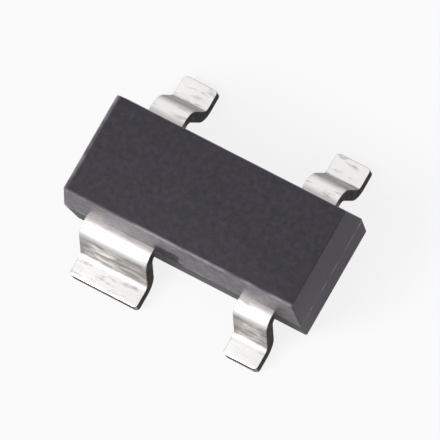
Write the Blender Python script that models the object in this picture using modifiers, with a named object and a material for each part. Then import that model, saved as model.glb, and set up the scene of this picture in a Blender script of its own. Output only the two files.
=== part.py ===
"""Four-lead clock chip: an epoxy body moulded around a stamped leadframe.

The origin is on the seating plane under the middle of the body. +X runs along the body
towards the narrow near lead, +Y across it towards the two far leads, +Z is up.
Every size is in millimetres: one empty, scaled to a thousandth, carries all the pieces.
"""
import math

import bmesh
import bpy
from mathutils import Vector

MILLIMETRE_SCALE = 0.001

# Moulded body
BODY_LENGTH = 2.95                  # at the parting line
BODY_WIDTH = 1.31                   # at the parting line
BODY_TOP = 0.965                    # above the seating plane
STANDOFF = 0.05                     # underside of the body above the seating plane
UPPER_END_DRAFT = math.radians(7.8)
UPPER_SIDE_DRAFT = math.radians(10)
LOWER_END_DRAFT = math.radians(5.6)
LOWER_SIDE_DRAFT = math.radians(1.6)
CORNER_RADIUS = 0.025               # upright corners
EDGE_RADIUS = 0.016                 # round the top face and the underside
MOULD_CLEARANCE = 0.006             # between the compound and each piece in it

# Stamped strip and the form of the legs
STRIP_THICKNESS = 0.135
STRIP_EDGE_RADIUS = 0.012
LEG_DROP = 0.45                     # from the strip in the body down to the feet
LEAD_SPAN = 2.46                    # toe to toe
SHOULDER_LENGTH = 0.03              # straight run outside the body
BEND_RADIUS = 0.07                  # inside of both bends
LEG_ANGLE = math.radians(72)        # leg from the horizontal
TOE_CORNER_RADIUS = 0.045
STAMPED_CORNER_RADIUS = 0.03        # corners of the strip inside the body
BEND_STEPS = 6
CORNER_STEPS = 4
EDGE_STEPS = 3

# Places of the leads: the middles of their feet along X
PIN_PITCH = 1.90                    # between the two narrow leads of the far side
WIDE_TO_NARROW_PITCH = 1.70         # between the two leads of the near side
NARROW_LEAD_WIDTH = 0.42
WIDE_LEAD_WIDTH = 0.84

# Die paddle, one piece with the wide lead, measured from the body's middle
PADDLE_LEFT = -1.03
PADDLE_RIGHT = 0.36
PADDLE_NEAR = 0.41
PADDLE_FAR = 0.27

# Bonding posts, one piece each with a narrow lead
STAMPING_GAP = 0.14                 # least gap between two pieces of the strip
POST_WING = 0.08                    # how far a post reaches past its lead, outwards
POST_SHOULDER = 0.42                # outer edge of the right-hand posts
RIGHT_POST_GAP = 0.24               # between the two right-hand posts
FAR_LEFT_POST_DEPTH = 0.10
FAR_LEFT_POST_REACH = 0.28          # how far it reaches past its lead, inwards

# Silicon die and its adhesive
DIE_LENGTH = 0.50
DIE_WIDTH = 0.42
DIE_THICKNESS = 0.14
DIE_CENTRE = Vector((-0.12, -0.06))
ATTACH_THICKNESS = 0.018
ATTACH_FILLET = 0.02                # how far the adhesive spreads past the die
JOINT_GAP = 0.004                   # between stacked pieces, where they are bonded

# Gold bond wires
WIRE_RADIUS = 0.0125
BALL_RADIUS = 0.033
BALL_HEIGHT = 0.022
BALL_PROFILE = ((0.0, 0.7), (0.25, 1.0), (0.75, 1.0), (1.0, 0.7))   # shares of its height and radius
NECK_HEIGHT = 0.02                  # straight wire above the ball
STITCH_LENGTH = 0.045               # from its middle to either end
STITCH_HALF_WIDTH = 0.026
STITCH_TIP_SHARE = 0.7              # width of the stitch's tip against its middle
STITCH_HEIGHT = 0.014
PAD_INSET = 0.07                    # bond pads from the die's edges
LANDING_INSET = 0.12                # stitches from the ends of the posts
LOOP_RISE = 0.24
LOOP_APPROACH = 0.45                # share of the wire's run over which it levels out
WIRE_STEPS = 12

STRIP_MIDDLE = LEG_DROP + STRIP_THICKNESS / 2
STRIP_TOP = STRIP_MIDDLE + STRIP_THICKNESS / 2
PARTING_HEIGHT = STRIP_MIDDLE
NEAR, FAR = -1, 1

# The leg along the middle of the strip: level, bend down, straight leg, bend back, foot
MIDDLE_RADIUS = BEND_RADIUS + STRIP_THICKNESS / 2
BEND_RUN = MIDDLE_RADIUS * LEG_ANGLE
LEG_RUN = (LEG_DROP - 2 * MIDDLE_RADIUS * (1 - math.cos(LEG_ANGLE))) / math.sin(LEG_ANGLE)
FIRST_BEND = BODY_WIDTH / 2 + SHOULDER_LENGTH
SECOND_BEND = FIRST_BEND + BEND_RUN + LEG_RUN
BENDS_END = SECOND_BEND + BEND_RUN


def clear_scene():
    for item in list(bpy.data.objects):
        bpy.data.objects.remove(item, do_unlink=True)


def new_collection(name):
    collection = bpy.data.collections.new(name)
    bpy.context.scene.collection.children.link(collection)
    return collection


def add_object(name, data, collection):
    item = bpy.data.objects.new(name, data)
    collection.objects.link(item)
    item.parent = chip_frame
    return item


def mesh_object(name, mesh_builder, collection):
    """Close a bmesh into a new object."""
    data = bpy.data.meshes.new(name)
    bmesh.ops.recalc_face_normals(mesh_builder, faces=mesh_builder.faces)
    mesh_builder.to_mesh(data)
    mesh_builder.free()
    return add_object(name, data, collection)


def hide_cutter(item):
    item.hide_render = True
    item.display_type = 'WIRE'
    return item


def cut(item, cutter):
    modifier = item.modifiers.new("cut_" + cutter.name, 'BOOLEAN')
    modifier.operation = 'DIFFERENCE'
    modifier.solver = 'EXACT'
    modifier.object = cutter


def bevel(item, width, segments, angle):
    modifier = item.modifiers.new("rounded_edges", 'BEVEL')
    modifier.width = width
    modifier.segments = segments
    modifier.limit_method = 'ANGLE'
    modifier.angle_limit = angle
    modifier.use_clamp_overlap = True


def shade(item, angle):
    item.data.shade_smooth()
    item.data.set_sharp_from_angle(angle=angle)


def principled(name, colour, roughness, metallic):
    material = bpy.data.materials.new(name)
    material.use_nodes = True
    shader = material.node_tree.nodes["Principled BSDF"]
    shader.inputs["Base Color"].default_value = (*colour, 1.0)
    shader.inputs["Roughness"].default_value = roughness
    shader.inputs["Metallic"].default_value = metallic
    return material


def epoxy_material():
    return principled("black_epoxy_moulding_compound", (0.045, 0.043, 0.052), 0.62, 0.0)


def tin_material():
    return principled("matte_tin_plated_copper_alloy", (0.78, 0.77, 0.75), 0.34, 1.0)


def silicon_material():
    return principled("polished_silicon", (0.20, 0.21, 0.24), 0.18, 0.6)


def adhesive_material():
    return principled("silver_filled_epoxy", (0.55, 0.54, 0.51), 0.5, 0.4)


def gold_material():
    return principled("drawn_gold_wire", (0.93, 0.68, 0.26), 0.22, 1.0)


def grown(outline, margin):
    """Move every edge of a counter-clockwise outline outwards by the margin."""
    result = []
    for index, corner in enumerate(outline):
        before = (corner - outline[index - 1]).normalized()
        after = (outline[(index + 1) % len(outline)] - corner).normalized()
        normal_before = Vector((before.y, -before.x))
        normal_after = Vector((after.y, -after.x))
        shift = (normal_before + normal_after) / (1 + normal_before.dot(normal_after))
        result.append(corner + shift * margin)
    return result


def rounded(outline, radii):
    """Replace each right-angled corner of an outline with an arc of its radius."""
    points = []
    for index, (corner, radius) in enumerate(zip(outline, radii)):
        to_before = (outline[index - 1] - corner).normalized() * radius
        to_after = (outline[(index + 1) % len(outline)] - corner).normalized() * radius
        centre = corner + to_before + to_after
        for step in range(CORNER_STEPS + 1):
            angle = math.pi / 2 * step / CORNER_STEPS
            points.append(centre - to_after * math.cos(angle) - to_before * math.sin(angle))
    return points


def mesh_of_curve(name, curve, collection):
    """Turn a curve into a bmesh with its caps welded on."""
    drawn = add_object(name + "_drawn", curve, collection)
    bpy.context.view_layer.update()
    evaluated = drawn.evaluated_get(bpy.context.evaluated_depsgraph_get())
    data = bpy.data.meshes.new_from_object(evaluated)
    bpy.data.objects.remove(drawn, do_unlink=True)
    builder = bmesh.new()
    builder.from_mesh(data)
    bpy.data.meshes.remove(data)
    bmesh.ops.remove_doubles(builder, verts=builder.verts, dist=0.0001)
    return builder


def plate(name, outline, middle, thickness, collection):
    """Flat plate: the outline is drawn out into a wall, whose two open ends are then filled."""
    curve = bpy.data.curves.new(name + "_outline", 'CURVE')
    curve.dimensions = '2D'
    curve.fill_mode = 'NONE'
    curve.extrude = thickness / 2
    spline = curve.splines.new('POLY')
    spline.points.add(len(outline) - 1)
    for point, corner in zip(spline.points, outline):
        point.co = (corner.x, corner.y, 0, 1)
    spline.use_cyclic_u = True
    builder = mesh_of_curve(name, curve, collection)
    bmesh.ops.holes_fill(builder, edges=builder.edges)
    bmesh.ops.translate(builder, vec=(0, 0, middle), verts=builder.verts)
    return builder


class Lead:
    """One stamped lead: a straight strip that ends, inside the body, in a wider pad.

    The outline is drawn flat, as X and the distance out from the body's middle line.
    """

    def __init__(self, name, side, centre, width, pad_x, pad_reach):
        self.name = name
        self.side = side
        self.left = centre - width / 2
        self.right = centre + width / 2
        self.pad_left, self.pad_right = pad_x
        self.pad_inner, self.pad_outer = pad_reach

    def outline(self, toe):
        """Counter-clockwise outline with its corners rounded, from the pad to the toe."""
        corners = [
            (self.left, self.pad_outer), (self.pad_left, self.pad_outer),
            (self.pad_left, self.pad_inner), (self.pad_right, self.pad_inner),
            (self.pad_right, self.pad_outer), (self.right, self.pad_outer),
            (self.right, toe), (self.left, toe),
        ]
        radii = [STAMPED_CORNER_RADIUS] * 6 + [TOE_CORNER_RADIUS] * 2
        return rounded([Vector(corner) for corner in corners], radii)

    def placed(self, outline):
        """Turn outward distances into Y, keeping the outline counter-clockwise."""
        points = [Vector((point.x, point.y * self.side)) for point in outline]
        return points if self.side == FAR else points[::-1]


def formed(distance):
    """Place and slope angle of the strip's middle at a flat distance from the body's middle."""
    down = min(max(distance - FIRST_BEND, 0) / MIDDLE_RADIUS, LEG_ANGLE)
    leg = min(max(distance - FIRST_BEND - BEND_RUN, 0), LEG_RUN)
    back = min(max(distance - SECOND_BEND, 0) / MIDDLE_RADIUS, LEG_ANGLE)
    level = min(distance, FIRST_BEND) + max(distance - BENDS_END, 0)
    out = level + MIDDLE_RADIUS * math.sin(down) + leg * math.cos(LEG_ANGLE)
    out += MIDDLE_RADIUS * (math.sin(LEG_ANGLE) - math.sin(LEG_ANGLE - back))
    height = STRIP_MIDDLE - MIDDLE_RADIUS * (1 - math.cos(down)) - leg * math.sin(LEG_ANGLE)
    height -= MIDDLE_RADIUS * (math.cos(LEG_ANGLE - back) - math.cos(LEG_ANGLE))
    return out, height, down - back


def flat_toe():
    """Flat distance of the toe that puts it at half the lead span once formed."""
    return BENDS_END + LEAD_SPAN / 2 - formed(BENDS_END)[0]


def bend_stations():
    """Flat distances at which the strip is creased, through both bends."""
    starts = (FIRST_BEND, SECOND_BEND)
    return [start + BEND_RUN * step / BEND_STEPS for start in starts for step in range(BEND_STEPS + 1)]


def build_lead(lead, collection):
    """Stamp the flat outline, then form the leg on it."""
    builder = plate(lead.name, lead.placed(lead.outline(flat_toe())), 0, STRIP_THICKNESS, collection)
    for station in bend_stations():
        geometry = list(builder.verts) + list(builder.edges) + list(builder.faces)
        bmesh.ops.bisect_plane(builder, geom=geometry, dist=0.00001,
                               plane_co=(0, lead.side * station, 0), plane_no=(0, 1, 0))
    for vertex in builder.verts:
        out, height, angle = formed(vertex.co.y * lead.side)
        offset = vertex.co.z
        vertex.co.y = lead.side * (out + offset * math.sin(angle))
        vertex.co.z = height + offset * math.cos(angle)
    item = mesh_object(lead.name, builder, collection)
    bevel(item, STRIP_EDGE_RADIUS, 2, math.radians(50))
    item.data.materials.append(tin)
    shade(item, math.radians(30))
    return item


def lead_slot(lead, collection):
    """The room that one lead takes in the moulding compound."""
    reach = BODY_WIDTH / 2 + 2 * TOE_CORNER_RADIUS
    name = lead.name + "_slot"
    room = lead.placed(grown(lead.outline(reach), MOULD_CLEARANCE))
    builder = plate(name, room, STRIP_MIDDLE, STRIP_THICKNESS + 2 * MOULD_CLEARANCE, collection)
    return hide_cutter(mesh_object(name, builder, collection))


def block(name, length, width, bottom, top, centre, collection):
    builder = bmesh.new()
    bmesh.ops.create_cube(builder, size=1)
    bmesh.ops.scale(builder, vec=(length, width, top - bottom), verts=builder.verts)
    bmesh.ops.translate(builder, vec=(centre.x, centre.y, (bottom + top) / 2), verts=builder.verts)
    return mesh_object(name, builder, collection)


def die_levels():
    """Heights of the adhesive's underside and top, and of the die's underside and top."""
    attach_bottom = STRIP_TOP + JOINT_GAP
    attach_top = attach_bottom + ATTACH_THICKNESS
    die_bottom = attach_top + JOINT_GAP
    return attach_bottom, attach_top, die_bottom, die_bottom + DIE_THICKNESS


def build_die(parts_collection, cutter_collection):
    attach_bottom, attach_top, die_bottom, die_top = die_levels()
    spread = 2 * ATTACH_FILLET
    room = 2 * MOULD_CLEARANCE
    attach = block("die_attach", DIE_LENGTH + spread, DIE_WIDTH + spread, attach_bottom, attach_top,
                   DIE_CENTRE, parts_collection)
    attach.data.materials.append(adhesive)
    die = block("die", DIE_LENGTH, DIE_WIDTH, die_bottom, die_top, DIE_CENTRE, parts_collection)
    die.data.materials.append(silicon)
    attach_room = block("die_attach_room", DIE_LENGTH + spread + room, DIE_WIDTH + spread + room,
                        STRIP_MIDDLE, attach_top + MOULD_CLEARANCE, DIE_CENTRE, cutter_collection)
    die_room = block("die_room", DIE_LENGTH + room, DIE_WIDTH + room,
                     attach_bottom, die_top + MOULD_CLEARANCE, DIE_CENTRE, cutter_collection)
    return [hide_cutter(attach_room), hide_cutter(die_room)]


def loop(start, end):
    """Points of a loop that leaves its start straight up and lands level."""
    level = Vector((start.x - end.x, start.y - end.y, 0)) * LOOP_APPROACH
    controls = (start, start + Vector((0, 0, LOOP_RISE)), end + level, end)
    points = []
    for step in range(WIRE_STEPS + 1):
        t = step / WIRE_STEPS
        weights = ((1 - t) ** 3, 3 * t * (1 - t) ** 2, 3 * t * t * (1 - t), t ** 3)
        points.append(sum((control * weight for control, weight in zip(controls, weights)), Vector()))
    return points


def tube(name, stations, collection):
    """Round bar through stations, each a place and a radius."""
    curve = bpy.data.curves.new(name, 'CURVE')
    curve.dimensions = '3D'
    curve.bevel_depth = 1
    curve.bevel_resolution = 2
    curve.use_fill_caps = True
    spline = curve.splines.new('POLY')
    spline.points.add(len(stations) - 1)
    for point, (place, radius) in zip(spline.points, stations):
        point.co = (*place, 1)
        point.radius = radius
    return mesh_of_curve(name, curve, collection)


def bond_wire(name, pad, post, margin, collection):
    """Ball, loop and pressed stitch as one bar, with a margin all round when it is a cutter."""
    ball_bottom = die_levels()[3] + JOINT_GAP
    landing = STRIP_TOP + JOINT_GAP
    along = (post - pad).normalized()
    heel = post - along * STITCH_LENGTH
    tip = post + along * (STITCH_LENGTH + margin)
    stations = []
    for height, radius in BALL_PROFILE:
        level = ball_bottom - margin + height * (BALL_HEIGHT + 2 * margin)
        stations.append((Vector((*pad, level)), radius * BALL_RADIUS + margin))
    start = Vector((*pad, ball_bottom + BALL_HEIGHT + NECK_HEIGHT))
    for place in loop(start, Vector((*heel, landing + WIRE_RADIUS))):
        stations.append((place, WIRE_RADIUS + margin))
    stations.append((Vector((*post, landing + WIRE_RADIUS)), STITCH_HALF_WIDTH + margin))
    stations.append((Vector((*tip, landing + WIRE_RADIUS)), STITCH_TIP_SHARE * STITCH_HALF_WIDTH + margin))
    builder = tube(name, stations, collection)
    press = (STITCH_HEIGHT / 2 + margin) / (STITCH_HALF_WIDTH + margin)
    for vertex in builder.verts:
        if (vertex.co.xy - heel).dot(along) > STITCH_LENGTH / 2:
            above = vertex.co.z - landing - WIRE_RADIUS
            vertex.co.z = landing + STITCH_HEIGHT / 2 + above * press
    return mesh_object(name, builder, collection)


def build_body(collection):
    """Straight block with rounded upright corners, drawn in above and below the parting line."""
    upper = (BODY_TOP - PARTING_HEIGHT, UPPER_END_DRAFT, UPPER_SIDE_DRAFT)
    lower = (PARTING_HEIGHT - STANDOFF, LOWER_END_DRAFT, LOWER_SIDE_DRAFT)
    builder = bmesh.new()
    bmesh.ops.create_cube(builder, size=1)
    bmesh.ops.scale(builder, vec=(BODY_LENGTH, BODY_WIDTH, BODY_TOP - STANDOFF), verts=builder.verts)
    bmesh.ops.translate(builder, vec=(0, 0, (BODY_TOP + STANDOFF) / 2), verts=builder.verts)
    upright = [edge for edge in builder.edges if edge.verts[0].co.xy == edge.verts[1].co.xy]
    bmesh.ops.bevel(builder, geom=upright, offset=CORNER_RADIUS, offset_type='OFFSET',
                    segments=CORNER_STEPS, profile=0.5, affect='EDGES')
    geometry = list(builder.verts) + list(builder.edges) + list(builder.faces)
    parting = bmesh.ops.bisect_plane(builder, geom=geometry, dist=0.00001,
                                     plane_co=(0, 0, PARTING_HEIGHT), plane_no=(0, 0, 1))
    line = {item for item in parting["geom_cut"] if isinstance(item, bmesh.types.BMVert)}
    for vertex in builder.verts:
        if vertex not in line:
            depth, end_draft, side_draft = upper if vertex.co.z > PARTING_HEIGHT else lower
            vertex.co.x -= math.copysign(depth * math.tan(end_draft), vertex.co.x)
            vertex.co.y -= math.copysign(depth * math.tan(side_draft), vertex.co.y)
    level = [face for face in builder.faces if len(face.verts) > 4]
    rims = list({edge for face in level for edge in face.edges})
    bmesh.ops.bevel(builder, geom=rims, offset=EDGE_RADIUS, offset_type='OFFSET',
                    segments=EDGE_STEPS, profile=0.5, affect='EDGES')
    item = mesh_object("moulded_body", builder, collection)
    item.data.materials.append(epoxy)
    return item


def lead_plan():
    """The four leads, numbered around the body from the wide one."""
    outer = PIN_PITCH / 2
    near_wide = outer - WIDE_TO_NARROW_PITCH
    post_right = outer + NARROW_LEAD_WIDTH / 2 + POST_WING
    post_left = PADDLE_RIGHT + STAMPING_GAP
    right_reach = (RIGHT_POST_GAP / 2, POST_SHOULDER)
    far_left_inner = PADDLE_FAR + STAMPING_GAP
    far_left_x = (-post_right, -outer + NARROW_LEAD_WIDTH / 2 + FAR_LEFT_POST_REACH)
    far_left_reach = (far_left_inner, far_left_inner + FAR_LEFT_POST_DEPTH)
    paddle_x = (PADDLE_LEFT, PADDLE_RIGHT)
    paddle_reach = (-PADDLE_FAR, PADDLE_NEAR)
    return [
        Lead("lead_pin_1", NEAR, near_wide, WIDE_LEAD_WIDTH, paddle_x, paddle_reach),
        Lead("lead_pin_2", NEAR, outer, NARROW_LEAD_WIDTH, (post_left, post_right), right_reach),
        Lead("lead_pin_3", FAR, outer, NARROW_LEAD_WIDTH, (post_left, post_right), right_reach),
        Lead("lead_pin_4", FAR, -outer, NARROW_LEAD_WIDTH, far_left_x, far_left_reach),
    ]


def wire_plan(leads):
    """Bond pad on the die and landing place on the strip, for each pin."""
    half_x = DIE_LENGTH / 2 - PAD_INSET
    half_y = DIE_WIDTH / 2 - PAD_INSET
    ground_x = (PADDLE_LEFT + DIE_CENTRE.x - DIE_LENGTH / 2) / 2
    right_x = leads[1].pad_left + LANDING_INSET
    right_y = (RIGHT_POST_GAP / 2 + POST_SHOULDER) / 2
    far_left_x = leads[3].pad_right - LANDING_INSET
    far_left_y = (leads[3].pad_inner + leads[3].pad_outer) / 2
    middle = DIE_CENTRE
    return [
        ("bond_wire_pin_1", middle + Vector((-half_x, -half_y)), Vector((ground_x, middle.y - half_y))),
        ("bond_wire_pin_2", middle + Vector((half_x, -half_y)), Vector((right_x, -right_y))),
        ("bond_wire_pin_3", middle + Vector((half_x, half_y)), Vector((right_x, right_y))),
        ("bond_wire_pin_4", middle + Vector((-half_x, half_y)), Vector((far_left_x, far_left_y))),
    ]


clear_scene()
chip = new_collection("four_lead_clock_chip")
cutters = new_collection("cutters")
chip_frame = bpy.data.objects.new("millimetre_frame", None)
chip_frame.scale = (MILLIMETRE_SCALE,) * 3
chip.objects.link(chip_frame)

epoxy = epoxy_material()
tin = tin_material()
silicon = silicon_material()
adhesive = adhesive_material()
gold = gold_material()

leads = lead_plan()
for stamped_lead in leads:
    build_lead(stamped_lead, chip)
rooms = [lead_slot(stamped_lead, cutters) for stamped_lead in leads]
rooms += build_die(chip, cutters)
for wire_name, wire_pad, wire_post in wire_plan(leads):
    bonded = bond_wire(wire_name, wire_pad, wire_post, 0.0, chip)
    bonded.data.materials.append(gold)
    shade(bonded, math.radians(40))
    rooms.append(hide_cutter(bond_wire(wire_name + "_room", wire_pad, wire_post, MOULD_CLEARANCE, cutters)))

moulding = build_body(chip)
for piece_room in rooms:
    cut(moulding, piece_room)
shade(moulding, math.radians(30))
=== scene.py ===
import math

import bmesh
import bpy
from mathutils import Matrix, Vector


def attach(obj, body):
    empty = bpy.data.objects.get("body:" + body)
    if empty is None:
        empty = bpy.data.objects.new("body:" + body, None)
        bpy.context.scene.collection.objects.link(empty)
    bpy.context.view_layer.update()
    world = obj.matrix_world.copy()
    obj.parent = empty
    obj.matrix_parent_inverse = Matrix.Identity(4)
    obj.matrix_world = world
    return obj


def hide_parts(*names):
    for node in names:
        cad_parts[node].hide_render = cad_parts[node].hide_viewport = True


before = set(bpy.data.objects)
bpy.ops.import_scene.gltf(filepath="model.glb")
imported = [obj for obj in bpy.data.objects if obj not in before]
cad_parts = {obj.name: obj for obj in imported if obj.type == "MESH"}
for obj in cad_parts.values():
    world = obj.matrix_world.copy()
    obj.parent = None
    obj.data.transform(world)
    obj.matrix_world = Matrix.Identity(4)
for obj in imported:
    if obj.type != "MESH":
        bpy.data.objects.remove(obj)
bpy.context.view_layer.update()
MM = 0.001

# Leads: strips of copper alloy, stamped as one frame, moulded in at their inner ends,
# then plated with matt tin, cut free at the toes and bent to gull wings in a forming tool.
# Each carries its bonding pad inside the body; the wide one carries the die paddle.
STRIP_THICKNESS = 0.135 * MM
STRIP_MIDDLE = 0.5175 * MM           # height at which it leaves the body
FIRST_BEND = 0.685 * MM              # out from the middle of the body
BEND_RADIUS = 0.1375 * MM            # of the middle of the strip
BEND_STEPS = 14
LEG_ANGLE = math.radians(72)
TOE = 1.23 * MM
TOE_CORNER = 0.045 * MM
STAMPED_CORNER = 0.03 * MM
ROLLED_EDGE = 0.012 * MM
TOLERANCE = 0.001 * MM               # for cutting and picking
FLAT_WITHIN = 0.01                   # radians between faces that count as one
LEADS = {
    # name: side, left, right, pad left, pad right, pad inner, pad outer, in mm
    "lead_pin_1": (-1, -1.17, -0.33, -1.03, 0.36, -0.27, 0.41),
    "lead_pin_2": (-1, 0.74, 1.16, 0.50, 1.24, 0.12, 0.42),
    "lead_pin_3": (1, 0.74, 1.16, 0.50, 1.24, 0.12, 0.42),
    "lead_pin_4": (1, -1.16, -0.74, -1.24, -0.46, 0.41, 0.51),
}
TIN = "#eeece9"
SCUFFED_TIN = "#b3afac"
# painted shade on the steep part of each leg
STEEP_LEG_PAINTED_SHADE = "#8c8885"
# painted shade on the sheared sides
SIDE_PAINTED_SHADE = "#37322f"
# painted shade on the strip close to the body
NEAR_BODY_SHADE_COLOUR = "#9c8f8d"
CUT_COPPER = "#5a463d"
SCUFF_SPACING = 0.06 * MM
SCUFF_STRETCH = 4                    # across the lead
CRYSTAL_SIZE = 0.014 * MM            # really 0.003 to 0.005 mm: drawn coarser so that it shows
CRYSTAL_HEIGHT = 0.002 * MM
# how far out the painted shade near the body reaches, and how strong it is
NEAR_BODY_SHADE_FULL_TO = FIRST_BEND - 0.02 * MM
NEAR_BODY_SHADE_ENDS_AT = FIRST_BEND + 0.03 * MM
NEAR_BODY_SHADE_STRENGTH = 0.55
COPPER_DEPTH = 0.004 * MM


def start_from(add_primitive, name, centre, size):
    """Add a primitive of a given size at its place, and open it in edit mode."""
    bpy.ops.object.select_all(action='DESELECT')
    add_primitive(size=1, location=centre)
    bpy.context.object.name = name
    bpy.ops.object.transform_apply(location=True, rotation=True, scale=True)
    bpy.ops.object.mode_set(mode='EDIT')
    bpy.ops.mesh.select_all(action='SELECT')
    bpy.ops.transform.resize(value=size, center_override=centre)


def choose(elements, test):
    """In edit mode, select only the vertices, edges or faces that pass the test."""
    mesh = bpy.context.edit_object.data
    modes = {"verts": 'VERT', "edges": 'EDGE', "faces": 'FACE'}
    bpy.ops.mesh.select_all(action='DESELECT')
    bpy.ops.mesh.select_mode(type=modes[elements])
    shape = bmesh.from_edit_mesh(mesh)
    for element in getattr(shape, elements):
        if test(element):
            element.select_set(True)
    shape.select_flush_mode()
    bmesh.update_edit_mesh(mesh)


def middle(element):
    """The middle of an edge or a face."""
    return sum((vertex.co for vertex in element.verts), Vector()) / len(element.verts)


def rise(edge):
    """How much higher one end of an edge is than the other."""
    return abs(edge.verts[0].co.z - edge.verts[1].co.z)


def cut(point, normal):
    """Cut the whole mesh along a plane, and keep both sides."""
    bpy.ops.mesh.select_all(action='SELECT')
    bpy.ops.mesh.bisect(plane_co=point, plane_no=normal, threshold=TOLERANCE)


def extrude(x, y, z):
    bpy.ops.mesh.extrude_region_move(TRANSFORM_OT_translate={"value": (x, y, z)})


def leave_edit_mode():
    """Turn all faces outwards, and go back to object mode."""
    bpy.ops.mesh.select_all(action='SELECT')
    bpy.ops.mesh.normals_make_consistent(inside=False)
    bpy.ops.object.mode_set(mode='OBJECT')


def stamp_blank(name, side, strip_x, pad_x, pad_inner, pad_outer):
    """Cut the flat pad and shoulder out of a rectangle of strip, and give it its thickness."""
    west, east = min(strip_x[0], pad_x[0]), max(strip_x[1], pad_x[1])
    centre = ((west + east) / 2, side * (pad_inner + FIRST_BEND) / 2,
              STRIP_MIDDLE - STRIP_THICKNESS / 2)
    start_from(bpy.ops.mesh.primitive_plane_add, name, centre,
               (east - west, FIRST_BEND - pad_inner, 1))
    for x in (*strip_x, *pad_x):
        cut((x, 0, 0), (1, 0, 0))
    cut((0, side * pad_outer, 0), (0, 1, 0))

    def scrap(face):
        place = middle(face)
        kept = pad_x if place.y * side < pad_outer else strip_x
        return not kept[0] < place.x < kept[1]

    choose("faces", scrap)
    bpy.ops.mesh.delete(type='FACE')
    bpy.ops.mesh.select_all(action='SELECT')
    bpy.ops.mesh.dissolve_limited(angle_limit=FLAT_WITHIN)
    bpy.ops.mesh.select_all(action='SELECT')
    extrude(0, 0, STRIP_THICKNESS)


def form_lead(name, side, *sizes):
    """Stamp the blank, then draw it over the shoulder, down the leg and along the foot."""
    left, right, pad_left, pad_right, pad_inner, pad_outer = [size * MM for size in sizes]
    stamp_blank(name + "_plated", side, (left, right), (pad_left, pad_right),
                pad_inner, pad_outer)
    choose("faces", lambda face: middle(face).y * side > FIRST_BEND - TOLERANCE)
    bpy.ops.mesh.spin(steps=BEND_STEPS, angle=side * LEG_ANGLE, axis=(1, 0, 0),
                      center=(0, side * FIRST_BEND, STRIP_MIDDLE - BEND_RADIUS))
    bends_drop = 2 * BEND_RADIUS * (1 - math.cos(LEG_ANGLE))
    leg_drop = STRIP_MIDDLE - STRIP_THICKNESS / 2 - bends_drop
    leg_reach = leg_drop / math.tan(LEG_ANGLE)
    extrude(0, side * leg_reach, -leg_drop)
    heel = FIRST_BEND + 2 * BEND_RADIUS * math.sin(LEG_ANGLE) + leg_reach
    bpy.ops.mesh.spin(steps=BEND_STEPS, angle=-side * LEG_ANGLE, axis=(1, 0, 0),
                      center=(0, side * heel, STRIP_THICKNESS / 2 + BEND_RADIUS))
    extrude(0, side * (TOE - heel), 0)

    def corner(inner, outer):
        """Edges through the strip, between two distances out from the body's middle."""
        return lambda edge: (rise(edge) > 0.99 * STRIP_THICKNESS
                             and edge.calc_length() < 1.01 * STRIP_THICKNESS
                             and inner < middle(edge).y * side < outer)

    choose("edges", corner(TOE - TOLERANCE, TOE + TOLERANCE))
    bpy.ops.mesh.bevel(offset=TOE_CORNER, segments=5, affect='EDGES')
    choose("edges", corner(pad_inner - TOLERANCE, FIRST_BEND - TOLERANCE))
    bpy.ops.mesh.bevel(offset=STAMPED_CORNER, segments=4, affect='EDGES')
    leave_edit_mode()
    piece = bpy.context.object
    rolled = piece.modifiers.new("rolled_edges", 'BEVEL')
    rolled.width = ROLLED_EDGE
    rolled.segments = 3
    rolled.limit_method = 'ANGLE'
    rolled.angle_limit = math.radians(40)
    bpy.ops.object.modifier_apply(modifier=rolled.name)
    bpy.ops.object.shade_smooth_by_angle(angle=math.radians(35))
    return piece


def linear(colour):
    """Turn an sRGB hex colour into linear RGBA."""
    channels = [int(colour[place:place + 2], 16) / 255 for place in (1, 3, 5)]
    return (*(c / 12.92 if c <= 0.04045 else ((c + 0.055) / 1.055) ** 2.4 for c in channels), 1.0)


def feed(tree, node, inputs):
    """Give each input a value, or a link from a socket or from a node's first output."""
    for name, value in inputs.items():
        if isinstance(value, bpy.types.Node):
            value = next(output for output in value.outputs if output.enabled)
        if isinstance(value, bpy.types.NodeSocket):
            tree.links.new(value, node.inputs[name])
        else:
            node.inputs[name].default_value = value


def add(tree, kind, inputs, **settings):
    """Add a node with its settings, and feed it its inputs."""
    made = tree.nodes.new(kind)
    for name, value in settings.items():
        setattr(made, name, value)
    feed(tree, made, inputs)
    return made


def new_material(name):
    """An empty material: its tree and its Principled shader."""
    material = bpy.data.materials.new(name)
    material.use_nodes = True
    return material, material.node_tree, material.node_tree.nodes["Principled BSDF"]


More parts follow.
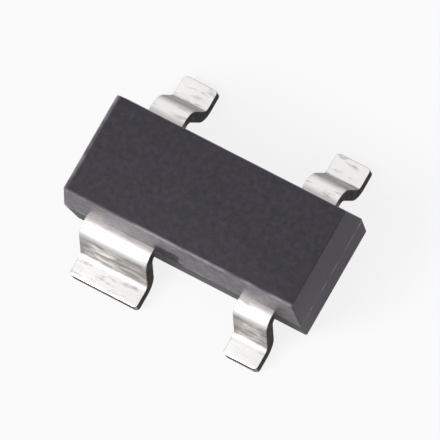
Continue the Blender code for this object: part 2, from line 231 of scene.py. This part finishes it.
def matt_tin_plating():
    """Matt tin on copper alloy: a satin, faintly warm white. The forming tool streaks the legs and
    dulls their steep part, which is also drawn darker as painted shade; the sheared sides and the
    strip close to the body are drawn dark as painted shade, and copper shows where the toes were
    cut after plating."""
    material, tree, shader = new_material("matt_tin_plating")
    coordinates = add(tree, "ShaderNodeTexCoord", {})
    place = coordinates.outputs["Object"]
    axes = add(tree, "ShaderNodeSeparateXYZ", {"Vector": place})
    facing = add(tree, "ShaderNodeSeparateXYZ", {"Vector": coordinates.outputs["Normal"]})

    # the plating, with its scuffs
    stretched = add(tree, "ShaderNodeMapping", {
        "Vector": place, "Scale": (1 / SCUFF_STRETCH, 1, 1)})
    scuffs = add(tree, "ShaderNodeTexNoise", {
        "Vector": stretched, "Scale": 1 / SCUFF_SPACING, "Detail": 4.0, "Roughness": 0.6})
    streaks = add(tree, "ShaderNodeMapRange", {"Value": scuffs, "From Min": 0.54, "From Max": 0.7})
    plated = add(tree, "ShaderNodeMix", {
        "Factor": streaks, "A": linear(TIN), "B": linear(SCUFFED_TIN)}, data_type='RGBA')
    crystals = add(tree, "ShaderNodeTexNoise", {
        "Vector": place, "Scale": 1 / CRYSTAL_SIZE, "Detail": 2.0})

    # painted shade: the steep part of each leg is drawn darker, in patches; it is also left rougher
    levelness = add(tree, "ShaderNodeMath", {0: facing.outputs["Z"]}, operation='ABSOLUTE')
    steep_leg = add(tree, "ShaderNodeMapRange", {"Value": levelness, "From Min": 0.85, "From Max": 0.4})
    shade_patches = add(tree, "ShaderNodeMapRange", {
        "Value": scuffs, "From Min": 0.4, "From Max": 0.62, "To Min": 0.72, "To Max": 1.0})
    steep_leg_shade = add(tree, "ShaderNodeMath", {0: steep_leg, 1: shade_patches}, operation='MULTIPLY')
    leg = add(tree, "ShaderNodeMix", {
        "Factor": steep_leg_shade, "A": plated, "B": linear(STEEP_LEG_PAINTED_SHADE)}, data_type='RGBA')

    # painted shade: the sheared sides of the strip are drawn dark, as if in shadow
    sideways = add(tree, "ShaderNodeMath", {0: facing.outputs["X"]}, operation='ABSOLUTE')
    side_shade = add(tree, "ShaderNodeMapRange", {
        "Value": sideways, "From Min": 0.72, "From Max": 0.93})
    side = add(tree, "ShaderNodeMix", {
        "Factor": side_shade, "A": leg, "B": linear(SIDE_PAINTED_SHADE)}, data_type='RGBA')

    # painted shade: each lead is drawn greyer close to the body, where the body shades it
    outward = add(tree, "ShaderNodeMath", {0: axes.outputs["Y"]}, operation='ABSOLUTE')
    near_body_shade = add(tree, "ShaderNodeMapRange", {
        "Value": outward, "From Min": NEAR_BODY_SHADE_ENDS_AT, "From Max": NEAR_BODY_SHADE_FULL_TO,
        "To Min": 0.0, "To Max": NEAR_BODY_SHADE_STRENGTH})
    with_near_body_shade = add(tree, "ShaderNodeMix", {
        "Factor": near_body_shade, "A": side, "B": linear(NEAR_BODY_SHADE_COLOUR)}, data_type='RGBA')

    # bare copper at the toe
    cut_end = add(tree, "ShaderNodeMath", {0: outward, 1: TOE - COPPER_DEPTH},
                  operation='GREATER_THAN')
    colour = add(tree, "ShaderNodeMix", {
        "Factor": cut_end, "A": with_near_body_shade, "B": linear(CUT_COPPER)}, data_type='RGBA')

    satin = add(tree, "ShaderNodeMapRange", {
        "Value": scuffs, "From Min": 0.35, "From Max": 0.7, "To Min": 0.26, "To Max": 0.48})
    rough = add(tree, "ShaderNodeMath", {0: steep_leg, 1: 0.2, 2: satin}, operation='MULTIPLY_ADD')
    grain = add(tree, "ShaderNodeBump", {
        "Height": crystals, "Strength": 0.35, "Distance": CRYSTAL_HEIGHT})
    feed(tree, shader, {"Base Color": colour, "Roughness": rough, "Normal": grain, "Metallic": 1.0})
    return material


tin = matt_tin_plating()
for lead_name, form in LEADS.items():
    lead = form_lead(lead_name, *form)
    lead.data.materials.append(tin)
    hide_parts(lead_name)
    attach(lead, "root")


# Adhesive: silver-filled epoxy paste, dispensed on the paddle and cured under the die,
# where it spreads just past the die's edges. It shows grey, with the glint of its flakes.
FLAKE_SIZE = 0.008 * MM
SILVER_FLAKES = "#cfcbc4"
GREY_EPOXY = "#8b8780"


def carried_over(node, material):
    """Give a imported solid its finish, as it is."""
    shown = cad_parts[node]
    shown.data.materials.clear()
    shown.data.materials.append(material)


def silver_filled_epoxy():
    """Cured silver paste: grey, half metallic and dull."""
    material, tree, shader = new_material("silver_filled_epoxy_cured")
    place = add(tree, "ShaderNodeTexCoord", {}).outputs["Object"]
    flakes = add(tree, "ShaderNodeTexVoronoi", {"Vector": place, "Scale": 1 / FLAKE_SIZE})
    glint = add(tree, "ShaderNodeMix", {
        "Factor": flakes.outputs["Distance"], "A": linear(SILVER_FLAKES), "B": linear(GREY_EPOXY)},
        data_type='RGBA')
    feed(tree, shader, {"Base Color": glint, "Metallic": 0.6, "Roughness": 0.45})
    return material


carried_over("die_attach", silver_filled_epoxy())


# Die: silicon sawn from a polished wafer, its top covered by circuit layers under clear
# passivation. It shows a dark, glossy blue-grey.
CIRCUIT_BLOCK = 0.05 * MM
BLUE_GREY_CIRCUIT = "#5b6470"
ROSE_GREY_CIRCUIT = "#8d7f86"


def polished_silicon():
    """Polished silicon under its circuit layers: glossy, with blocks of slightly other greys."""
    material, tree, shader = new_material("polished_silicon_die")
    place = add(tree, "ShaderNodeTexCoord", {}).outputs["Object"]
    blocks = add(tree, "ShaderNodeTexVoronoi", {"Vector": place, "Scale": 1 / CIRCUIT_BLOCK},
                 distance='CHEBYCHEV')
    circuit = add(tree, "ShaderNodeMix", {
        "Factor": blocks.outputs["Color"],
        "A": linear(BLUE_GREY_CIRCUIT), "B": linear(ROSE_GREY_CIRCUIT)}, data_type='RGBA')
    feed(tree, shader, {"Base Color": circuit, "Metallic": 0.6, "Roughness": 0.16})
    return material


carried_over("die", polished_silicon())


# Bond wires: gold wire of 25 micrometres, melted to a ball on each pad of the die, drawn
# over in a loop and pressed off on the strip.
GOLD = "#f0c260"
DRAWN_LINE_SPACING = 0.01 * MM


def drawn_gold():
    """Drawn gold: warm and bright, with faint lines left by the capillary."""
    material, tree, shader = new_material("drawn_gold_wire")
    place = add(tree, "ShaderNodeTexCoord", {}).outputs["Object"]
    lines = add(tree, "ShaderNodeTexNoise", {
        "Vector": place, "Scale": 1 / DRAWN_LINE_SPACING, "Detail": 1.0})
    rough = add(tree, "ShaderNodeMapRange", {"Value": lines, "To Min": 0.14, "To Max": 0.3})
    feed(tree, shader, {"Base Color": linear(GOLD), "Metallic": 1.0, "Roughness": rough})
    return material


gold = drawn_gold()
for pin in range(1, 5):
    carried_over(f"bond_wire_pin_{pin}", gold)


# Body: black epoxy filled with fused silica, pressed hot around the frame in a split mould,
# which leaves drafted sides, a parting line level with the strip and an even matt grain.
BODY_LENGTH = 2.95 * MM
BODY_WIDTH = 1.31 * MM
BODY_TOP = 0.965 * MM
BODY_UNDERSIDE = 0.05 * MM
BODY_DRAWN_IN = {
    # height: how far the ends and the sides are drawn in there by the mould's draft
    BODY_TOP: (0.0613 * MM, 0.0789 * MM),
    BODY_UNDERSIDE: (0.0458 * MM, 0.0131 * MM),
}
BODY_CORNER = 0.025 * MM
BODY_ROUNDING = 0.016 * MM
PARTING_ROUNDING = 0.007 * MM
COMPOUND = "#0c090f"
COMPOUND_OVER_GRAINS = "#2f2a35"
# painted light on the end walls
END_WALL_PAINTED_LIGHT = "#5d535f"
# painted light on the long upper walls
LONG_WALL_PAINTED_LIGHT = "#4c464c"
LONG_WALL_PAINTED_LIGHT_OVER_GRAINS = "#706a6f"
# painted highlight on the rim of the top
RIM_PAINTED_HIGHLIGHT = "#a8a1ab"
# trimmed flash and a painted highlight along the parting line
FLASH_AND_EDGE_HIGHLIGHT = "#8c858a"
GRAIN_SPACING = 0.07 * MM
PIT_SPACING = 0.03 * MM
PIT_DEPTH = 0.004 * MM
TEAR_SPACING = 0.25 * MM
# painted shadow of the wide lead on the near wall
LEAD_SHADOW_PLACE = (-0.175 * MM, -0.64 * MM, 0.6 * MM)
LEAD_SHADOW_REACH = (0.16 * MM, 0.1 * MM, 0.11 * MM)   # each way from its place
END_RIM = 0.05 * MM
SIDE_RIM = 0.03 * MM
PARTING_LINE_REACH = 0.03 * MM


def mould_body():
    """A straight block with round corners, creased at the parting line and drawn in each way."""
    height = BODY_TOP - BODY_UNDERSIDE
    start_from(bpy.ops.mesh.primitive_cube_add, "moulded_epoxy_body",
               (0, 0, (BODY_TOP + BODY_UNDERSIDE) / 2), (BODY_LENGTH, BODY_WIDTH, height))
    choose("edges", lambda edge: rise(edge) > height / 2)
    bpy.ops.mesh.bevel(offset=BODY_CORNER, segments=6, affect='EDGES')
    cut((0, 0, STRIP_MIDDLE), (0, 0, 1))
    for level, (end, side) in BODY_DRAWN_IN.items():
        choose("verts", lambda vertex: abs(vertex.co.z - level) < TOLERANCE)
        bpy.ops.transform.resize(value=(1 - 2 * end / BODY_LENGTH, 1 - 2 * side / BODY_WIDTH, 1),
                                 center_override=(0, 0, level))

    def at_parting_line(edge):
        return abs(middle(edge).z - STRIP_MIDDLE) < TOLERANCE

    choose("edges", lambda edge: rise(edge) < TOLERANCE and not at_parting_line(edge))
    bpy.ops.mesh.bevel(offset=BODY_ROUNDING, segments=5, affect='EDGES')
    choose("edges", lambda edge: rise(edge) < TOLERANCE and at_parting_line(edge))
    bpy.ops.mesh.bevel(offset=PARTING_ROUNDING, segments=2, affect='EDGES')
    leave_edit_mode()
    bpy.ops.object.shade_smooth_by_angle(angle=math.radians(30))
    return bpy.context.object


def moulded_epoxy():
    """Black epoxy moulding compound: near black, mottled where silica grains lie close under
    the skin. The spark-eroded mould leaves the top matt, and the polished draft of its walls
    leaves the sides with a satin sheen."""
    material, tree, shader = new_material("black_epoxy_moulding_compound_matt")
    coordinates = add(tree, "ShaderNodeTexCoord", {})
    place = coordinates.outputs["Object"]
    axes = add(tree, "ShaderNodeSeparateXYZ", {"Vector": place})
    facing = add(tree, "ShaderNodeSeparateXYZ", {"Vector": coordinates.outputs["Normal"]})
    tears = add(tree, "ShaderNodeTexNoise", {
        "Vector": place, "Scale": 1 / TEAR_SPACING, "Detail": 3.0})

    # the compound, mottled by its grains and pitted by the mould
    grains = add(tree, "ShaderNodeTexNoise", {
        "Vector": place, "Scale": 1 / GRAIN_SPACING, "Detail": 5.0, "Roughness": 0.7})
    mottle = add(tree, "ShaderNodeMapRange", {"Value": grains, "From Min": 0.38, "From Max": 0.62})
    mottled = add(tree, "ShaderNodeMix", {
        "Factor": mottle, "A": linear(COMPOUND), "B": linear(COMPOUND_OVER_GRAINS)},
        data_type='RGBA')
    pits = add(tree, "ShaderNodeTexNoise", {
        "Vector": place, "Scale": 1 / PIT_SPACING, "Detail": 3.0})
    texture = add(tree, "ShaderNodeBump", {
        "Height": pits, "Strength": 0.5, "Distance": PIT_DEPTH})

    # satin above the parting line, duller below it, and matt on top
    upper = add(tree, "ShaderNodeMapRange", {
        "Value": axes.outputs["Z"], "From Min": STRIP_MIDDLE - 0.04 * MM, "From Max": STRIP_MIDDLE})
    walls = add(tree, "ShaderNodeMapRange", {"Value": upper, "To Min": 0.56, "To Max": 0.43})
    matt = add(tree, "ShaderNodeMapRange", {
        "Value": axes.outputs["Z"], "From Min": BODY_TOP - BODY_ROUNDING, "From Max": BODY_TOP,
        "To Min": 0.0, "To Max": 0.17})
    even = add(tree, "ShaderNodeMath", {0: walls, 1: matt}, operation='ADD')
    uneven = add(tree, "ShaderNodeMapRange", {"Value": grains, "To Min": -0.09, "To Max": 0.09})
    grainy = add(tree, "ShaderNodeMath", {0: even, 1: uneven}, operation='ADD')

    # painted shadow: beside the wide lead a ragged patch keeps the dark compound, without the
    # walls' painted light, as if in the lead's shadow; it is rougher there too
    from_lead_shadow = add(tree, "ShaderNodeMapping", {
        "Vector": place, "Location": LEAD_SHADOW_PLACE, "Scale": LEAD_SHADOW_REACH}, vector_type='TEXTURE')
    off_lead_shadow = add(tree, "ShaderNodeVectorMath", {0: from_lead_shadow}, operation='ABSOLUTE')
    off = add(tree, "ShaderNodeSeparateXYZ", {"Vector": off_lead_shadow})
    along_wall = add(tree, "ShaderNodeMath", {0: off.outputs["X"], 1: off.outputs["Z"]},
                     operation='MAXIMUM')
    farthest = add(tree, "ShaderNodeMath", {0: along_wall, 1: off.outputs["Y"]},
                   operation='MAXIMUM')
    ragged = add(tree, "ShaderNodeMath", {0: grains, 1: 1.2, 2: farthest},
                 operation='MULTIPLY_ADD')
    lead_shadow = add(tree, "ShaderNodeMapRange", {"Value": ragged, "From Min": 1.7, "From Max": 1.45})
    outside_lead_shadow = add(tree, "ShaderNodeMath", {0: 1.0, 1: lead_shadow}, operation='SUBTRACT')
    rough = add(tree, "ShaderNodeMath", {0: lead_shadow, 1: 0.25, 2: grainy}, operation='MULTIPLY_ADD')

    # painted light: the end walls are drawn a little paler than the top, as if more lit
    endways = add(tree, "ShaderNodeMath", {0: facing.outputs["X"]}, operation='ABSOLUTE')
    end_wall_light = add(tree, "ShaderNodeMapRange", {
        "Value": endways, "From Min": 0.7, "From Max": 0.95, "To Min": 0.0, "To Max": 0.35})
    with_lit_ends = add(tree, "ShaderNodeMix", {
        "Factor": end_wall_light, "A": mottled, "B": linear(END_WALL_PAINTED_LIGHT)}, data_type='RGBA')

    # painted light: the long upper walls are drawn greyer than the top, as if lit, still mottled by
    # the grains
    sideways = add(tree, "ShaderNodeMath", {0: facing.outputs["Y"]}, operation='ABSOLUTE')
    long_wall = add(tree, "ShaderNodeMapRange", {
        "Value": sideways, "From Min": 0.7, "From Max": 0.95, "To Min": 0.0, "To Max": 0.9})
    upper_wall = add(tree, "ShaderNodeMath", {0: long_wall, 1: upper}, operation='MULTIPLY')
    long_wall_light = add(tree, "ShaderNodeMath", {0: upper_wall, 1: outside_lead_shadow}, operation='MULTIPLY')
    lit_long_wall_mottle = add(tree, "ShaderNodeMix", {
        "Factor": mottle, "A": linear(LONG_WALL_PAINTED_LIGHT), "B": linear(LONG_WALL_PAINTED_LIGHT_OVER_GRAINS)},
        data_type='RGBA')
    with_walls = add(tree, "ShaderNodeMix", {
        "Factor": long_wall_light, "A": with_lit_ends, "B": lit_long_wall_mottle}, data_type='RGBA')

    # painted highlight: the rim of the top is drawn paler, in places more, at the left end and the
    # near side, as if its rounding caught the light
    end_in, side_in = BODY_DRAWN_IN[BODY_TOP]
    end_edge, side_edge = BODY_LENGTH / 2 - end_in, BODY_WIDTH / 2 - side_in
    leftward = add(tree, "ShaderNodeMath", {0: axes.outputs["X"], 1: -1.0}, operation='MULTIPLY')
    nearer = add(tree, "ShaderNodeMath", {0: axes.outputs["Y"], 1: -1.0}, operation='MULTIPLY')
    end_rim = add(tree, "ShaderNodeMapRange", {
        "Value": leftward, "From Min": end_edge - END_RIM, "From Max": end_edge - 0.01 * MM})
    side_rim = add(tree, "ShaderNodeMapRange", {
        "Value": nearer, "From Min": side_edge - SIDE_RIM, "From Max": side_edge - 0.005 * MM})
    rim = add(tree, "ShaderNodeMath", {0: end_rim, 1: side_rim}, operation='MAXIMUM')
    on_top = add(tree, "ShaderNodeMapRange", {
        "Value": axes.outputs["Z"], "From Min": BODY_TOP - 2 * BODY_ROUNDING,
        "From Max": BODY_TOP - BODY_ROUNDING})
    rim_highlight_breaks = add(tree, "ShaderNodeMapRange", {
        "Value": tears, "From Min": 0.4, "From Max": 0.6, "To Min": 0.25, "To Max": 0.8})
    rim_on_top = add(tree, "ShaderNodeMath", {0: rim, 1: on_top}, operation='MULTIPLY')
    rim_highlight = add(tree, "ShaderNodeMath", {0: rim_on_top, 1: rim_highlight_breaks}, operation='MULTIPLY')
    with_rim = add(tree, "ShaderNodeMix", {
        "Factor": rim_highlight, "A": with_walls, "B": linear(RIM_PAINTED_HIGHLIGHT)}, data_type='RGBA')

    # flash trimmed off the parting line leaves a paler, broken line, drawn paler still as a painted
    # highlight of the parting edge
    off_line = add(tree, "ShaderNodeMath", {0: axes.outputs["Z"], 1: STRIP_MIDDLE},
                   operation='SUBTRACT')
    distance = add(tree, "ShaderNodeMath", {0: off_line}, operation='ABSOLUTE')
    line = add(tree, "ShaderNodeMapRange", {
        "Value": distance, "From Min": PARTING_LINE_REACH, "From Max": PARTING_LINE_REACH / 3})
    broken = add(tree, "ShaderNodeMapRange", {
        "Value": tears, "From Min": 0.46, "From Max": 0.6, "To Min": 0.0, "To Max": 0.8})
    flash_and_edge_highlight = add(tree, "ShaderNodeMath", {0: line, 1: broken}, operation='MULTIPLY')
    colour = add(tree, "ShaderNodeMix", {
        "Factor": flash_and_edge_highlight, "A": with_rim, "B": linear(FLASH_AND_EDGE_HIGHLIGHT)}, data_type='RGBA')
    feed(tree, shader, {"Base Color": colour, "Roughness": rough, "Normal": texture, "IOR": 1.5})
    return material


body = mould_body()
body.data.materials.append(moulded_epoxy())
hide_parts("moulded_body")
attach(body, "root")


# Table: plain white card, which shows as white to the camera and in the metal, and still
# takes the chip's soft shadow.
CARD = "#fafafa"
WHITE_IN_VIEW = 0.85
WHITE_IN_METAL = 0.4

bpy.ops.object.select_all(action='DESELECT')
bpy.ops.mesh.primitive_plane_add(size=1.0)
table = bpy.context.object
table.name = "table"
card, card_tree, card_shader = new_material("white_card")
feed(card_tree, card_shader, {"Base Color": linear(CARD), "Roughness": 0.9})
card_ray = add(card_tree, "ShaderNodeLightPath", {})
mirrored = add(card_tree, "ShaderNodeMath", {
    0: card_ray.outputs["Is Glossy Ray"], 1: card_ray.outputs["Is Transmission Ray"]},
    operation='MAXIMUM')
in_metal = add(card_tree, "ShaderNodeMath", {0: mirrored, 1: WHITE_IN_METAL},
               operation='MULTIPLY')
in_view = add(card_tree, "ShaderNodeMath", {
    0: card_ray.outputs["Is Camera Ray"], 1: WHITE_IN_VIEW}, operation='MULTIPLY')
share = add(card_tree, "ShaderNodeMath", {0: in_metal, 1: in_view}, operation='ADD')
white = add(card_tree, "ShaderNodeEmission", {"Color": (1, 1, 1, 1), "Strength": 1.0})
card_mix = add(card_tree, "ShaderNodeMixShader", {0: share, 1: card_shader, 2: white})
feed(card_tree, card_tree.nodes["Material Output"], {"Surface": card_mix})
table.data.materials.append(card)


# Light: one broad soft lamp at the near left, in a pale studio that fills the shadows.
# The studio is white to the camera and in the metal, and sheds a third of that on the chip.
LAMP_PLACE = Vector((-0.16, -0.20, 0.22))
LAMP_SIZE = 0.20
LAMP_WATTS = 0.9
STUDIO = "#fcfdff"
STUDIO_FILL = 0.32
STUDIO_IN_METAL = 1.0

lamp = bpy.data.lights.new("near_left_softbox", 'AREA')
lamp.shape = 'SQUARE'
lamp.size = LAMP_SIZE
lamp.energy = LAMP_WATTS
softbox = bpy.data.objects.new("near_left_softbox", lamp)
softbox.location = LAMP_PLACE
softbox.rotation_euler = (-LAMP_PLACE).to_track_quat('-Z', 'Y').to_euler()
bpy.context.scene.collection.objects.link(softbox)

studio = bpy.data.worlds.new("pale_studio")
studio.use_nodes = True
studio_ray = add(studio.node_tree, "ShaderNodeLightPath", {})
in_reflection = add(studio.node_tree, "ShaderNodeMath", {
    0: studio_ray.outputs["Is Glossy Ray"], 1: studio_ray.outputs["Is Transmission Ray"]},
    operation='MAXIMUM')
off_camera = add(studio.node_tree, "ShaderNodeMapRange", {
    "Value": in_reflection, "To Min": STUDIO_FILL, "To Max": STUDIO_IN_METAL})
strength = add(studio.node_tree, "ShaderNodeMath", {
    0: off_camera, 1: studio_ray.outputs["Is Camera Ray"]}, operation='MAXIMUM')
feed(studio.node_tree, studio.node_tree.nodes["Background"], {
    "Color": linear(STUDIO), "Strength": strength})
bpy.context.scene.world = studio


# Camera: a long lens on the photograph's line of sight, rolled as the picture is and
# aimed a little off the middle of the seating plane.
AZIMUTH = math.radians(64.91)
ELEVATION = math.radians(69.98)
ROLL = math.radians(-36.33)
DISTANCE = 128.2 * MM
FRAME_WIDTH = 4.632 * MM
AIM_RIGHT = -0.0283 * MM
AIM_UP = 0.0561 * MM

level_right = Vector((math.cos(AZIMUTH), math.sin(AZIMUTH), 0))
towards_camera = Vector((math.sin(AZIMUTH) * math.cos(ELEVATION),
                         -math.cos(AZIMUTH) * math.cos(ELEVATION), math.sin(ELEVATION)))
level_up = towards_camera.cross(level_right)
right = level_right * math.cos(ROLL) + level_up * math.sin(ROLL)
up = level_up * math.cos(ROLL) - level_right * math.sin(ROLL)
lens = bpy.data.cameras.new("camera")
lens.sensor_width = 36
lens.lens = lens.sensor_width * DISTANCE / FRAME_WIDTH
lens.clip_start = 0.01
lens.clip_end = 10
camera = bpy.data.objects.new("camera", lens)
bpy.context.scene.collection.objects.link(camera)
camera.matrix_world = Matrix((right, up, towards_camera)).transposed().to_4x4()
camera.location = right * AIM_RIGHT + up * AIM_UP + towards_camera * DISTANCE
bpy.context.scene.camera = camera

bpy.context.scene.view_settings.view_transform = 'Standard'
